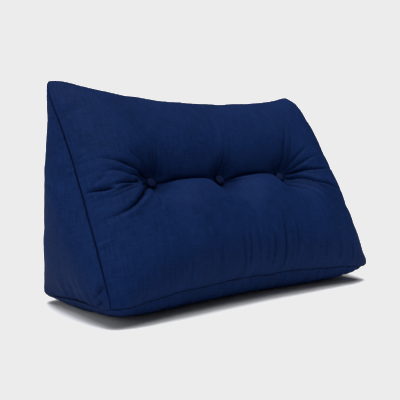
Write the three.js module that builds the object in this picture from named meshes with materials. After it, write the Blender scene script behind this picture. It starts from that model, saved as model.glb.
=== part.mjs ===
// Wedge reading pillow: one filled cushion, sewn with plain seams from a front, a back, a base and
// two triangular gussets, with a tufted fold across the front and three covered buttons in it.
// Millimetres, +Z up, the front faces -Y, and the pillow rests on z = 0.
import * as THREE from 'three';

const vec = (x, y, z) => new THREE.Vector3(x, y, z);

// Sewn outline of the wedge, seam to seam
const HALF_WIDTH = 380;
const BACK_Y = 150;
const FRONT_Y = -152;
const APEX_Y = 118;
const BACK_Z = 14;
const FRONT_Z = 37.5;
const APEX_Z = 493;

// How far each seam bows at its middle
const TOP_SEAM_BOW = vec(0, 8.6, -37);
const BASE_FRONT_BOW = vec(0, 19, 20);
const BASE_BACK_BOW = vec(0, 0, 10);
const SLOPE_SEAM_RISE = 7.5;
const SLOPE_SEAM_PULL = 3.4;
const BACK_SEAM_PULL = 10.5;
const SIDE_SEAM_PULL = 10;
const SIDE_SEAM_LIFT = 5;

// The slope seams stand out a little just below the top corners
const EAR_OUT = 7;
const EAR_DOWN = 0.12;

// How far the filling rounds the sewn corners, and over what length of seam
const TOP_CORNER_PULL = 3.7;
const BASE_CORNER_PULL = 7;
const LEFT_TOP_CORNER_IN = 4;
const RIGHT_TOP_CORNER_IN = 16;
const BASE_CORNER_IN = 2;
const CORNER_REACH = 37;
const LONG_CORNER_REACH = 59;

// Crown of each panel over its seams, and how far from a seam it takes to build up
const FRONT_CROWN = 59;
const UPPER_LOBE_CROWN = 50;
const LOWER_LOBE_CROWN = 57;
const FRONT_TOP_REACH = 65;
const FRONT_BASE_REACH = 50;
const FRONT_SIDE_REACH = 52;
const BACK_CROWN = 38;
const BACK_REACH = 70;
const BASE_CROWN = 61;
const BASE_REACH = 62;
const GUSSET_CROWN = 54;
const GUSSET_REACH = 47;
const GUSSET_BASE_REACH = 70;

// The tufted fold across the front, measured down the slope from the top seam
const FOLD_DOWN = 253;
const FOLD_FLOOR = 8;
const FOLD_REACH_UP = 46;
const FOLD_REACH_DOWN = 27;
const FOLD_FADE = 60;
const FOLD_ARCH_LEFT = 1;
const FOLD_ARCH_RIGHT = 14;
const FOLD_ARCH_REACH = 40;
const FOLD_ARCH_SPREAD = 70;

// The left button is tied a little lower than the others, and the fold follows it
const LEFT_DROP = 5;
const LEFT_DROP_REACH = 120;

// Covered buttons and the pits they are pulled into
const BUTTON_PITCH = 196;
const BUTTON_MIDDLE_X = -5;
const BUTTON_X = [-1, 0, 1].map((place) => BUTTON_MIDDLE_X + place * BUTTON_PITCH);
const BUTTON_RADIUS = 11.8;
const BUTTON_HEIGHT = 7.6;
const BUTTON_GAP = 0.5;
const PIT_DEPTH = 15;
const PIT_SPREAD = 42;
const PIT_FLOOR_RADIUS = 16.5;
const PIT_BLEND = 20;

// The ties draw the cloth in round each button: the lower lobe rises slowly out of its pit
const DRAWN_LOBE_REACH = 60;
const DRAWN_LOBE_SPREAD = 45;
const DRAWN_SLOPE_BELOW = 0.95;
const DRAWN_SLOPE_ABOVE = 3;
const DRAWN_SOFTNESS = 6;
const DRAWN_SPREAD = 110;

// Creases that fan out from the outer buttons: points across and down the front, from deep to faint
const CREASES = [
  { depth: 11, width: 10, path: [[-214, 238], [-246, 235], [-278, 233], [-308, 227]] },
  { depth: 10, width: 8, path: [[-262, 284], [-300, 285], [-340, 289], [-376, 289]] },
  { depth: 10, width: 12, path: [[-216, 265], [-244, 291], [-269, 313], [-290, 333], [-316, 346], [-348, 357]] },
  { depth: 9, width: 8, path: [[208, 266], [236, 288], [256, 303], [280, 309]] },
  { depth: 9, width: 8, path: [[212, 252], [260, 260], [300, 262], [335, 264]] },
];

// Grid lines: close to a button or the fold, then outward to the seams
const NEAR_LINES = [8, 14.5, 21, 30, 42];
const MID_LINES = [70, 98, 126];
const OUTER_LINES = [250, 263, 276, 289, 302, 315, 328, 342, 356, 369];
const ROWS_ABOVE_FOLD = [56, 72, 92, 115, 145, 180, 212, 237];
const ROWS_BELOW_FOLD = [54, 66, 78, 90, 102, 116, 135, 160, 190, 220, 245, 262];
const DEPTH_LINES = [0, 0.05, 0.12, 0.22, 0.34, 0.46, 0.58, 0.7, 0.81, 0.9, 0.96, 1];

const NAVY = 0x1d2f5c;

const rise = (distance, reach) => 1 - Math.exp(-Math.max(distance, 0) / reach);
const bell = (distance, spread) => Math.exp(-((distance / spread) ** 2));
const direction = (from, to) => to.clone().sub(from).normalize();

// The three sewn corners of one gusset; side is -1 for the left and 1 for the right
const apexCorner = (side) => vec(side * HALF_WIDTH, APEX_Y, APEX_Z);
const backCorner = (side) => vec(side * HALF_WIDTH, BACK_Y, BACK_Z);
const frontCorner = (side) => vec(side * HALF_WIDTH, FRONT_Y, FRONT_Z);

const SLOPE_LENGTH = apexCorner(1).distanceTo(frontCorner(1));
const BACK_LENGTH = apexCorner(1).distanceTo(backCorner(1));
const DEPTH = BACK_Y - FRONT_Y;

// Outward normals of the flat front and back, before crowning
const downSlope = direction(apexCorner(1), frontCorner(1));
const downBack = direction(apexCorner(1), backCorner(1));
const FRONT_NORMAL = vec(0, downSlope.z, -downSlope.y);
const BACK_NORMAL = vec(0, -downBack.z, downBack.y);

// A seam from corner a to corner b: straight, bowed, and drawn in near both corners
function seam(a, b, bow, pullA, pullB, reach) {
  const length = a.distanceTo(b);
  return (t) => {
    const nearA = Math.max(1 - (t * length) / reach, 0) ** 2;
    const nearB = Math.max(1 - ((1 - t) * length) / reach, 0) ** 2;
    return a
      .clone()
      .lerp(b, t)
      .addScaledVector(bow, 4 * t * (1 - t))
      .addScaledVector(pullA, nearA)
      .addScaledVector(pullB, nearB);
  };
}

// A corner moves along the two seams that leave it within its gusset, and in from the side
function cornerPull(corner, first, second, along, inward) {
  const pull = direction(corner, first).add(direction(corner, second)).multiplyScalar(along);
  pull.x -= Math.sign(corner.x) * inward;
  return pull;
}

function cornerPulls(side) {
  const [apex, back, front] = [apexCorner(side), backCorner(side), frontCorner(side)];
  const topIn = side < 0 ? LEFT_TOP_CORNER_IN : RIGHT_TOP_CORNER_IN;
  return {
    apex: cornerPull(apex, back, front, TOP_CORNER_PULL, topIn),
    back: cornerPull(back, apex, front, BASE_CORNER_PULL, BASE_CORNER_IN),
    front: cornerPull(front, apex, back, BASE_CORNER_PULL, BASE_CORNER_IN),
  };
}

function gussetSeams(side) {
  const [apex, back, front] = [apexCorner(side), backCorner(side), frontCorner(side)];
  const pulls = cornerPulls(side);
  const slopeBow = FRONT_NORMAL.clone().multiplyScalar(SLOPE_SEAM_RISE);
  slopeBow.x = -side * SLOPE_SEAM_PULL;
  const backBow = vec(-side * BACK_SEAM_PULL, 0, 0);
  const baseBow = vec(-side * SIDE_SEAM_PULL, 0, SIDE_SEAM_LIFT);
  const slope = seam(apex, front, slopeBow, pulls.apex, pulls.front, CORNER_REACH);
  return {
    slope: (t) => {
      const ear = EAR_OUT * (t / EAR_DOWN) * Math.exp(1 - t / EAR_DOWN) * (1 - t);
      return slope(t).add(vec(side * ear, 0, 0));
    },
    back: seam(apex, back, backBow, pulls.apex, pulls.back, CORNER_REACH),
    base: seam(back, front, baseBow, pulls.back, pulls.front, CORNER_REACH),
  };
}

const LEFT = gussetSeams(-1);
const RIGHT = gussetSeams(1);
const leftPulls = cornerPulls(-1);
const rightPulls = cornerPulls(1);
const topSeam = seam(
  apexCorner(-1), apexCorner(1), TOP_SEAM_BOW, leftPulls.apex, rightPulls.apex, LONG_CORNER_REACH,
);
const baseFrontSeam = seam(
  frontCorner(-1), frontCorner(1), BASE_FRONT_BOW, leftPulls.front, rightPulls.front, LONG_CORNER_REACH,
);
const baseBackSeam = seam(
  backCorner(-1), backCorner(1), BASE_BACK_BOW, leftPulls.back, rightPulls.back, LONG_CORNER_REACH,
);

// Smooth patch between four seams; u runs left to right and v from the first seam to the second
function patch(left, right, first, second) {
  const corners = [first(0), first(1), second(0), second(1)];
  return (u, v) => {
    const point = left(v).multiplyScalar(1 - u);
    point.addScaledVector(right(v), u);
    point.addScaledVector(first(u), 1 - v);
    point.addScaledVector(second(u), v);
    point.addScaledVector(corners[0], -(1 - u) * (1 - v));
    point.addScaledVector(corners[1], -u * (1 - v));
    point.addScaledVector(corners[2], -(1 - u) * v);
    return point.addScaledVector(corners[3], -u * v);
  };
}

// How far up the slope the fold line arches between two buttons, less its drop to the left one
function foldArch(x) {
  const across = Math.abs(x - BUTTON_MIDDLE_X);
  const arch = x < BUTTON_MIDDLE_X ? FOLD_ARCH_LEFT : FOLD_ARCH_RIGHT;
  const clear = NEAR_LINES[1];
  const leave = rise(across - clear, FOLD_ARCH_REACH);
  const arrive = rise(BUTTON_PITCH - clear - across, FOLD_ARCH_REACH);
  return arch * leave * arrive - LEFT_DROP * bell(x - BUTTON_X[0], LEFT_DROP_REACH);
}

// Depth of one crease at a point of the front, fading towards the crease's end
function creaseDepth({ depth, width, path }, x, down) {
  let [nearest, along] = [Infinity, 0];
  for (let i = 1; i < path.length; i += 1) {
    const [[ax, ad], [bx, bd]] = [path[i - 1], path[i]];
    const [dx, dd] = [bx - ax, bd - ad];
    const t = ((x - ax) * dx + (down - ad) * dd) / (dx * dx + dd * dd);
    const held = Math.min(Math.max(t, 0), 1);
    const distance = Math.hypot(x - ax - held * dx, down - ad - held * dd);
    if (distance < nearest) [nearest, along] = [distance, (i - 1 + held) / (path.length - 1)];
  }
  return depth * bell(nearest, width) * (1 - 0.7 * along * along);
}

// Height of the cloth over the front seam plane before the button pits are levelled
function foldedHeight(x, down) {
  const below = down - FOLD_DOWN;
  const fromTop = rise(down, FRONT_TOP_REACH);
  const fromBase = rise(SLOPE_LENGTH - down, FRONT_BASE_REACH);
  const fromSide = rise(HALF_WIDTH - Math.abs(x), FRONT_SIDE_REACH);
  const single = FRONT_CROWN * fromTop * fromBase;
  const upper = UPPER_LOBE_CROWN * fromTop * rise(-below, FOLD_REACH_UP);
  const drawn = BUTTON_X.reduce((sum, bx) => sum + bell(x - bx, DRAWN_LOBE_SPREAD), 0);
  const lowerReach = FOLD_REACH_DOWN + (DRAWN_LOBE_REACH - FOLD_REACH_DOWN) * drawn;
  const lower = LOWER_LOBE_CROWN * fromBase * rise(below, lowerReach);
  const tufted = (below < 0 ? upper : lower) + FOLD_FLOOR * fromTop * fromBase;
  const share = bell(Math.max(Math.abs(x - BUTTON_MIDDLE_X) - BUTTON_PITCH, 0), FOLD_FADE);
  const pits = BUTTON_X.reduce((sum, bx) => sum + bell(Math.hypot(x - bx, below), PIT_SPREAD), 0);
  const creases = CREASES.reduce((sum, crease) => sum + creaseDepth(crease, x, down), 0);
  return fromSide * ((1 - share) * single + share * tufted - creases) - PIT_DEPTH * pits;
}

const PIT_LEVEL = BUTTON_X.map((bx) => foldedHeight(bx, FOLD_DOWN));

// The height drawn in by one button, so that it is no higher than a cone that opens from its floor
function drawnIn(height, level, away, below) {
  const turn = Math.min(Math.max(2 * (below / Math.max(away, 1)) + 0.7, 0), 1);
  const under = turn * turn * (3 - 2 * turn);
  const slope = DRAWN_SLOPE_BELOW * under + DRAWN_SLOPE_ABOVE * (1 - under);
  const cone = level + slope * Math.max(away - PIT_FLOOR_RADIUS, 0);
  const rounding = DRAWN_SOFTNESS * Math.log1p(Math.exp(-Math.abs(height - cone) / DRAWN_SOFTNESS));
  return Math.min(height, cone) - rounding * bell(away, DRAWN_SPREAD);
}

// The front's height, with a flat floor under each button
function frontHeight(x, down) {
  const below = down - FOLD_DOWN;
  let height = foldedHeight(x, down);
  BUTTON_X.forEach((bx, i) => {
    const away = Math.hypot(x - bx, below);
    height = drawnIn(height, PIT_LEVEL[i], away, below);
    height += (PIT_LEVEL[i] - height) * bell(Math.max(away - PIT_FLOOR_RADIUS, 0), PIT_BLEND);
  });
  return height;
}

const flatFront = patch(LEFT.slope, RIGHT.slope, topSeam, baseFrontSeam);
const flatBack = patch(LEFT.back, RIGHT.back, topSeam, baseBackSeam);
const flatBase = patch(LEFT.base, RIGHT.base, baseBackSeam, baseFrontSeam);

function frontPoint(x, down) {
  const u = (x + HALF_WIDTH) / (2 * HALF_WIDTH);
  const shift = foldArch(x) * bell(down - FOLD_DOWN, FOLD_ARCH_SPREAD);
  const onSeam = down <= 0 || down >= SLOPE_LENGTH || Math.abs(x) >= HALF_WIDTH;
  const point = flatFront(u, (down - (onSeam ? 0 : shift)) / SLOPE_LENGTH);
  return onSeam ? point : point.addScaledVector(FRONT_NORMAL, frontHeight(x, down));
}

function backPoint(x, v) {
  const u = (x + HALF_WIDTH) / (2 * HALF_WIDTH);
  const rows = rise(v * BACK_LENGTH, BACK_REACH) * rise((1 - v) * BACK_LENGTH, BACK_REACH);
  const crown = BACK_CROWN * rows * rise(HALF_WIDTH - Math.abs(x), BACK_REACH);
  return flatBack(u, v).addScaledVector(BACK_NORMAL, crown);
}

// The base bulges below its seams and is flattened by the surface it rests on
function basePoint(x, s) {
  const u = (x + HALF_WIDTH) / (2 * HALF_WIDTH);
  const rows = rise(s * DEPTH, BASE_REACH) * rise((1 - s) * DEPTH, BASE_REACH);
  const crown = BASE_CROWN * rows * rise(HALF_WIDTH - Math.abs(x), BASE_REACH);
  const point = flatBase(u, s);
  point.z = Math.max(point.z - crown, 0);
  return point;
}

// One gusset, ruled between its back and slope seams; v runs down from the apex, s back to front
function gussetPoint(side, s, v) {
  const seams = side < 0 ? LEFT : RIGHT;
  const point = seams.back(v).lerp(seams.slope(v), s);
  const chord = seams.back(1).lerp(seams.slope(1), s);
  point.addScaledVector(seams.base(s).sub(chord), v);
  const width = v * DEPTH;
  const columns = rise(s * width, GUSSET_REACH) * rise((1 - s) * width, GUSSET_REACH);
  point.x += side * GUSSET_CROWN * columns * rise((1 - v) * BACK_LENGTH, GUSSET_BASE_REACH);
  return point;
}

function crossLines() {
  const lines = [];
  for (const bx of BUTTON_X) {
    lines.push(bx, ...NEAR_LINES.map((d) => bx + d), ...NEAR_LINES.map((d) => bx - d));
  }
  for (const bx of BUTTON_X.slice(0, 2)) lines.push(...MID_LINES.map((d) => bx + d));
  lines.push(...OUTER_LINES, ...OUTER_LINES.map((x) => -x));
  lines.push(-HALF_WIDTH, HALF_WIDTH);
  return lines.sort((a, b) => a - b);
}

function downLines() {
  const above = [...NEAR_LINES, ...ROWS_ABOVE_FOLD].map((d) => FOLD_DOWN - d);
  const below = [...NEAR_LINES, ...ROWS_BELOW_FOLD].map((d) => FOLD_DOWN + d);
  return [0, FOLD_DOWN, SLOPE_LENGTH, ...above, ...below].sort((a, b) => a - b);
}

// The cushion's skin: panels of triangles that share the points on their seams
class Skin {
  constructor() {
    this.points = [];
    this.faces = [];
    this.known = new Map();
  }

  index(point) {
    const key = point.toArray().map((value) => Math.round(value * 1000)).join();
    if (!this.known.has(key)) {
      this.known.set(key, this.points.length);
      this.points.push(point);
    }
    return this.known.get(key);
  }

  triangle(a, b, c) {
    if (a !== b && b !== c && c !== a) this.faces.push(a, b, c);
  }

  // Splits a quad along its shorter diagonal
  quad(a, b, c, d) {
    const [pa, pb, pc, pd] = [a, b, c, d].map((i) => this.points[i]);
    if (pa.distanceTo(pc) < pb.distanceTo(pd)) {
      this.triangle(a, b, c);
      this.triangle(a, c, d);
    } else {
      this.triangle(a, b, d);
      this.triangle(b, c, d);
    }
  }

  // Adds a grid of points; inward is true where its row and column order faces into the solid
  panel(grid, inward) {
    const rows = grid.map((row) => row.map((point) => this.index(point)));
    for (let r = 1; r < rows.length; r += 1) {
      for (let c = 1; c < rows[r].length; c += 1) {
        const ring = [rows[r - 1][c - 1], rows[r][c - 1], rows[r][c], rows[r - 1][c]];
        this.quad(...(inward ? ring.reverse() : ring));
      }
    }
  }

  geometry() {
    const geometry = new THREE.BufferGeometry();
    const positions = this.points.flatMap((point) => point.toArray());
    geometry.setAttribute('position', new THREE.Float32BufferAttribute(positions, 3));
    geometry.setIndex(this.faces);
    geometry.computeVertexNormals();
    return geometry;
  }
}

function cushionGeometry() {
  const across = crossLines();
  const down = downLines();
  const share = down.map((d) => d / SLOPE_LENGTH);
  const skin = new Skin();
  skin.panel(down.map((d) => across.map((x) => frontPoint(x, d))), false);
  skin.panel(share.map((v) => across.map((x) => backPoint(x, v))), true);
  skin.panel(DEPTH_LINES.map((s) => across.map((x) => basePoint(x, s))), true);
  for (const side of [-1, 1]) {
    skin.panel(share.map((v) => DEPTH_LINES.map((s) => gussetPoint(side, s, v))), side > 0);
  }
  return skin.geometry();
}

// A covered button: flat back, rolled rim and a shallow dome, turned to lie on the floor of its pit
function buttonGeometry(bx) {
  const profile = [
    [0, 0], [0.82, 0], [0.97, 0.15], [1, 0.34], [0.94, 0.58], [0.76, 0.79], [0.46, 0.94], [0, 1],
  ].map(([r, h]) => new THREE.Vector2(r * BUTTON_RADIUS, h * BUTTON_HEIGHT));
  const step = NEAR_LINES[0];
  const centre = frontPoint(bx, FOLD_DOWN);
  const aside = direction(frontPoint(bx - step, FOLD_DOWN), frontPoint(bx + step, FOLD_DOWN));
  const upward = direction(frontPoint(bx, FOLD_DOWN + step), frontPoint(bx, FOLD_DOWN - step));
  const axis = aside.cross(upward).normalize();
  const geometry = new THREE.LatheGeometry(profile, 28);
  geometry.applyQuaternion(new THREE.Quaternion().setFromUnitVectors(vec(0, 1, 0), axis));
  const seat = centre.addScaledVector(axis, BUTTON_GAP);
  return geometry.translate(seat.x, seat.y, seat.z);
}

const cloth = new THREE.MeshStandardMaterial({ color: NAVY, roughness: 0.92, metalness: 0 });

function piece(name, geometry) {
  const mesh = new THREE.Mesh(geometry, cloth);
  mesh.name = name;
  return mesh;
}

const pieces = [
  piece('cushion_body', cushionGeometry()),
  piece('button_left', buttonGeometry(BUTTON_X[0])),
  piece('button_middle', buttonGeometry(BUTTON_X[1])),
  piece('button_right', buttonGeometry(BUTTON_X[2])),
];

// Centre the pillow over the origin
const pillow = new THREE.Group();
pillow.name = 'reading_pillow';
pillow.add(...pieces);
const middle = new THREE.Box3().setFromObject(pillow).getCenter(vec(0, 0, 0));
pieces.forEach((mesh) => mesh.geometry.translate(-middle.x, -middle.y, 0));

export default pillow;
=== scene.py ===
# A wedge reading pillow in navy slubby cotton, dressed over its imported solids.
# Sizes are in millimetres until a mesh is made. The front faces -Y and the floor is z = 0.
import math

import bmesh
import bpy
import numpy as np
from mathutils import Matrix, Vector


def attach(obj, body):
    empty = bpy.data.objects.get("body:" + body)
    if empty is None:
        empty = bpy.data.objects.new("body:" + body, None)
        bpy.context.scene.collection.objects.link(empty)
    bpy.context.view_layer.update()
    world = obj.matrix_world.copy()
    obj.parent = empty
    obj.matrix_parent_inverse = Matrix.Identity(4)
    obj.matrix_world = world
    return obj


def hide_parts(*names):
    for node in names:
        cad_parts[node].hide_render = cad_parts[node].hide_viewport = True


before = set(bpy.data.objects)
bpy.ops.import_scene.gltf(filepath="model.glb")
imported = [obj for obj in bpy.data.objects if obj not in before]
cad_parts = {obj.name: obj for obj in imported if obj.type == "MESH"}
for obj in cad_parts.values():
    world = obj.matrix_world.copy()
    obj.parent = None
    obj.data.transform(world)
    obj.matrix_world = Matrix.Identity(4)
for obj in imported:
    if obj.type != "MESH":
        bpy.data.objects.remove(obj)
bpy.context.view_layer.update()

MM = 0.001
rng = np.random.default_rng(7)

# Sewn outline, as in the solids
HALF_WIDTH = 380.0
BACK_Y = 150.0
FRONT_Y = -152.0
APEX_Y = 118.0
BACK_Z = 14.0
FRONT_Z = 37.5
APEX_Z = 493.0
CENTRE_Y = 10.99

# Bows of the seams
TOP_SEAM_BOW = (0, 8.6, -37)
BASE_FRONT_BOW = (0, 19, 20)
BASE_BACK_BOW = (0, 0, 10)
SLOPE_SEAM_RISE = 7.5
SLOPE_SEAM_PULL = 3.4
BACK_SEAM_PULL = 10.5
SIDE_SEAM_PULL = 10.0
SIDE_SEAM_LIFT = 5.0
EAR_OUT = 7.0
EAR_DOWN = 0.12

# Rounding of the sewn corners; side is -1 for the left and 1 for the right
TOP_CORNER_PULL = 3.7
BASE_CORNER_PULL = 7.0
TOP_CORNER_IN = {-1: 4.0, 1: 16.0}
BASE_CORNER_IN = 2.0
CORNER_REACH = 37.0
LONG_CORNER_REACH = 59.0

# Crown of each panel, and how far from a seam it takes to build up
FRONT_CROWN = 59.0
UPPER_LOBE_CROWN = 50.0
LOWER_LOBE_CROWN = 57.0
FRONT_TOP_REACH = 65.0
FRONT_BASE_REACH = 50.0
FRONT_SIDE_REACH = 52.0
BACK_CROWN = 38.0
BACK_REACH = 70.0
BASE_CROWN = 61.0
BASE_REACH = 62.0
GUSSET_CROWN = 54.0
GUSSET_REACH = 47.0
GUSSET_BASE_REACH = 70.0

# Tufted fold, measured down the front from the top seam
FOLD_DOWN = 253.0
FOLD_FLOOR = 8.0
FOLD_REACH_UP = 46.0
FOLD_REACH_DOWN = 27.0
FOLD_FADE = 60.0
FOLD_ARCH_LEFT = 1.0
FOLD_ARCH_RIGHT = 9.5
FOLD_ARCH_LEAVE = 80.0
FOLD_ARCH_ARRIVE = 14.0
FOLD_ARCH_CLEAR = 14.5
FOLD_ARCH_SPREAD = 70.0
LEFT_DROP = 5.0
LEFT_DROP_REACH = 120.0

# Covered buttons and their pits
BUTTON_PITCH = 196.0
BUTTON_MIDDLE_X = -5.0
BUTTONS = {
    "left": BUTTON_MIDDLE_X - BUTTON_PITCH,
    "middle": BUTTON_MIDDLE_X,
    "right": BUTTON_MIDDLE_X + BUTTON_PITCH,
}
BUTTON_RADIUS = 11.8
BUTTON_HEIGHT = 7.6
BUTTON_SIDES = 44
BUTTON_RIM_SHARE = 0.42
BUTTON_PLEAT_SHARE = 0.965
BUTTON_GAP = 0.5
PIT_DEPTH = 15.0
PIT_SPREAD = 42.0
PIT_FLOOR_RADIUS = 16.5
PIT_BLEND = 20.0
DRAWN_LOBE_REACH = 60.0
DRAWN_LOBE_SPREAD = 45.0
DRAWN_SLOPE_BELOW = 0.95
DRAWN_SLOPE_ABOVE = 3.0
DRAWN_TURN = 0.7
DRAWN_SOFTNESS = 6.0
DRAWN_SPREAD = 110.0

# Dome of a button, from rim to middle: each inset as a share of its radius, each lift of its height
BUTTON_DOME = ((0.06, 0.16), (0.10, 0.12), (0.16, 0.11), (0.22, 0.10), (0.24, 0.07))

# Creases of the front: depth, half width, height of the bank below, and the line from deep to faint
# as places across the front and down it; the left button's come first
CREASES = (
    (11, 4.2, 3.4, (
        (-209, 240), (-219, 234), (-246, 240), (-271, 238), (-287, 234), (-306, 230), (-341, 221),
    )),
    (4, 3.6, 2.6, (
        (-217, 246), (-250, 252), (-278, 262), (-294, 256), (-310, 252), (-332, 253), (-352, 252),
    )),
    (9, 3.6, 2.8, ((-256, 272), (-272, 279), (-291, 281), (-306, 283), (-322, 286), (-341, 285))),
    (9, 3.6, 2.6, ((-328, 293), (-345, 292), (-357, 290), (-370, 288), (-380, 288))),
    (1.5, 3.6, 2.0, ((-336, 262), (-357, 274), (-374, 283))),
    (6, 3.2, 2.2, ((-214, 255), (-232, 267), (-249, 281), (-270, 288), (-287, 289))),
    (6, 3.4, 2.0, ((-280, 288), (-300, 293), (-314, 298), (-338, 305))),
    (3.5, 3.4, 1.4, ((-276, 295), (-295, 301), (-310, 306), (-336, 314))),
    (11, 4.0, 3.4, (
        (-213, 264), (-244, 291), (-271, 317), (-291, 333), (-309, 343), (-328, 349), (-360, 354),
    )),
    (3, 3.2, 1.0, ((-208, 238), (-213, 225), (-240, 212), (-254, 194))),
    (3, 3.2, 1.0, ((-212, 240), (-229, 226), (-259, 209), (-274, 191))),
    (3, 3.2, 0.8, ((-205, 236), (-210, 226), (-228, 216), (-242, 202))),
    (3, 3.0, 0.8, ((-201, 238), (-204, 211), (-208, 184))),
    (3, 3.0, 0.8, ((-195, 238), (-197, 208), (-200, 182))),
    (3, 3.0, 0.8, ((-188, 238), (-189, 208), (-187, 180))),
    (5, 2.8, 1.2, ((199, 238), (196, 216), (195, 200), (200, 180), (207, 160), (220, 132), (236, 102))),
    (3, 3.0, 0.8, ((208, 238), (213, 216), (220, 184), (229, 153), (237, 122))),
    (4, 3.4, 1.3, ((207, 240), (220, 225), (243, 208), (278, 188))),
    (4, 3.4, 1.5, ((211, 244), (239, 236), (267, 227), (318, 213))),
    (9, 3.2, 2.4, ((213, 247), (243, 254), (269, 261), (300, 263), (340, 259))),
    (10, 3.4, 2.6, (
        (206, 253), (222, 265), (239, 279), (253, 299), (275, 308), (293, 313), (322, 319), (352, 322),
    )),
    (3, 3.2, 0.8, ((-3, 238), (0, 214), (4, 180))),
    (3, 3.2, 0.6, ((-11, 238), (-18, 214), (-26, 186))),
    (2, 3.2, 0.6, ((4, 238), (12, 216), (24, 190))),
    (5, 3.0, 1.6, ((6, 256), (25, 260), (38, 268), (58, 276), (74, 280))),
    (3, 4.6, 1.2, ((200, 272), (214, 310), (232, 352), (246, 400))),
    (3, 4.6, 1.2, ((214, 276), (238, 316), (262, 352), (284, 396))),
    (3, 4.6, 1.2, ((222, 272), (252, 312), (290, 356), (318, 392))),
    (2.5, 4.6, 1.0, ((-210, 276), (-226, 320), (-252, 372))),
)

# Creases of the gussets: the same, with places behind the front corner and above the base seam
GUSSET_CREASES = (
    (6, 3.4, 2.4, ((28, 48), (42, 36), (58, 22))),
    (7, 3.4, 2.4, ((33, 22), (46, 11), (60, 1))),
    (2.5, 4.0, 1.4, ((70, 2), (73, 26), (78, 58))),
    (2.5, 4.0, 1.4, ((104, 2), (104, 30), (108, 70))),
    (2.5, 4.0, 1.4, ((142, 2), (140, 28), (140, 64))),
    (2.5, 4.0, 1.4, ((176, 2), (172, 24), (170, 50))),
    (2.0, 5.0, 1.2, ((150, 196), (168, 214), (196, 238), (226, 250))),
)
# Share of a crease's painted shade on the gussets
GUSSET_CREASE_PAINTED_SHADE = 0.6
GUSSET_PLAIN_WIDTH = 30.0

# Pressed lines that run down the lower front: across, from, to, depth
STREAKS = (
    (-52, 428, 514, 2.0), (-34, 432, 508, 2.0), (-12, 430, 506, 1.6), (14, 440, 510, 1.2),
    (33, 440, 518, 1.9), (72, 412, 514, 3.0), (90, 430, 505, 1.2), (109, 420, 498, 1.8),
    (301, 470, 516, 1.8), (-120, 450, 514, 1.2), (150, 448, 512, 1.2), (205, 460, 514, 1.2),
    (256, 452, 510, 1.4), (-200, 462, 512, 1.0),
)

# Shape of a crease: how sharp its trough is, how it fades, and its banks as shares of its half width
CREASE_SHARPNESS = 1.4
CREASE_FADE = 2.5
CREASE_START = 0.6
CREASE_NARROWING = 0.4
BANK_BELOW = (2.6, 1.7)
BANK_ABOVE = (2.8, 1.8)
BANK_ABOVE_SHARE = 0.6
# Width of the shade painted along a crease's trough, as a share of its half width, and the depth at which
# that shade is full
CREASE_PAINTED_SHADE_WIDTH = 0.7
CREASE_PAINTED_SHADE_DEPTH = 6.0

# Shape of a pressed line
STREAK_WIDTH = 2.8
STREAK_SWAY = 3.0
STREAK_SWAY_LENGTH = 47.0
STREAK_BANK = (7.0, 6.0)
# Shade painted in a pressed line, and the depth at which it is full
STREAK_PAINTED_SHADE = 0.6
STREAK_PAINTED_SHADE_DEPTH = 2.6

# The tuck between two buttons, the pleats round each one, and the shade painted in the pleats and in a ring
# round each button
TUCK_DEPTH = 4.0
TUCK_WIDTH = 2.6
PLEATS = 16
PLEAT_TURN = 0.15
PLEAT_DEPTHS = (0.8, 2.4)
PLEAT_LENGTHS = (12, 34)
PLEAT_WIDTH = 1.6
PLEAT_WIDENING = 0.06
PLEAT_PAINTED_SHADE = 0.16
PLEAT_PAINTED_SHADE_REACH = 12.0
BUTTON_RING_PAINTED_SHADE = (1.4, 2.8)
FOLDS_CLEAR_OF_SIDE = 8.0

# Gathers along each seam: spacing, depth, reach, and how far they slant
FRONT_LEFT_GATHERS = (10, 1.9, 24, -0.2)
FRONT_LOW_LEFT_GATHERS = (24, 2.2, 48, -0.3)
LOW_LEFT_START = (300, 30)
FRONT_RIGHT_GATHERS = (13, 1.0, 26)
FRONT_TOP_GATHERS = (17, 1.2, 22)
FRONT_BASE_GATHERS = (15, 1.6, 34)
BACK_SIDE_GATHERS = (16, 1.6, 26)
BACK_TOP_GATHERS = (18, 1.4, 24)
BACK_BASE_GATHERS = (17, 1.5, 26)
BASE_FRONT_GATHERS = (12, 4.2, 30, 0.5)
BASE_BACK_GATHERS = (18, 1.4, 22)
BASE_SIDE_GATHERS = (13, 1.6, 22)
GUSSET_FRONT_GATHERS = (15, 1.5, 20)
GUSSET_BACK_GATHERS = (18, 1.2, 18)
GUSSET_BASE_GATHERS = (12, 2.2, 30)
GATHER_WIDTHS = (2.8, 5.2)
GATHER_LEAN = 0.25
GATHERS_START = 18.0
GATHERS_STOP = 14.0

# Uneven swelling of each panel: its size and amount, and how far it keeps clear of the seams
FRONT_SWELL = (150, 1.2)
BACK_SWELL = (180, 1.6)
GUSSET_SWELL = (120, 0.9)
SWELL_WAVES = 9
SWELL_CLEAR = 25.0

# Where each panel starts across the roll of cloth, so that no two share a stretch of weave
CLOTH_START = {"front": 1000, "back": 3000, "base": 5000, -1: 7000, 1: 8000}

# Cloth: how often each yarn and crinkle repeats across and down, in a metre
WEFT_REPEATS = (40, 400)
WARP_REPEATS = (400, 32)
CRINKLE_REPEATS = (210, 20)
CLOUD_REPEATS = (12, 9)
GRAIN_REPEATS = (800, 800)
CRINKLE_RELIEF = 1.6
WEAVE_STRENGTH = 0.5
WEAVE_DEPTH = 0.0011
CLOTH_ROUGHNESS = 0.7
CLOTH_SHINE = 0.048
# Painted shade: the colour the cover's cloth is multiplied by in its creases, pleats and seams and round
# its buttons, as far as the tuck attribute reaches
PAINTED_SHADE_TINT = (0.03, 0.10, 0.20, 1)

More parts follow.
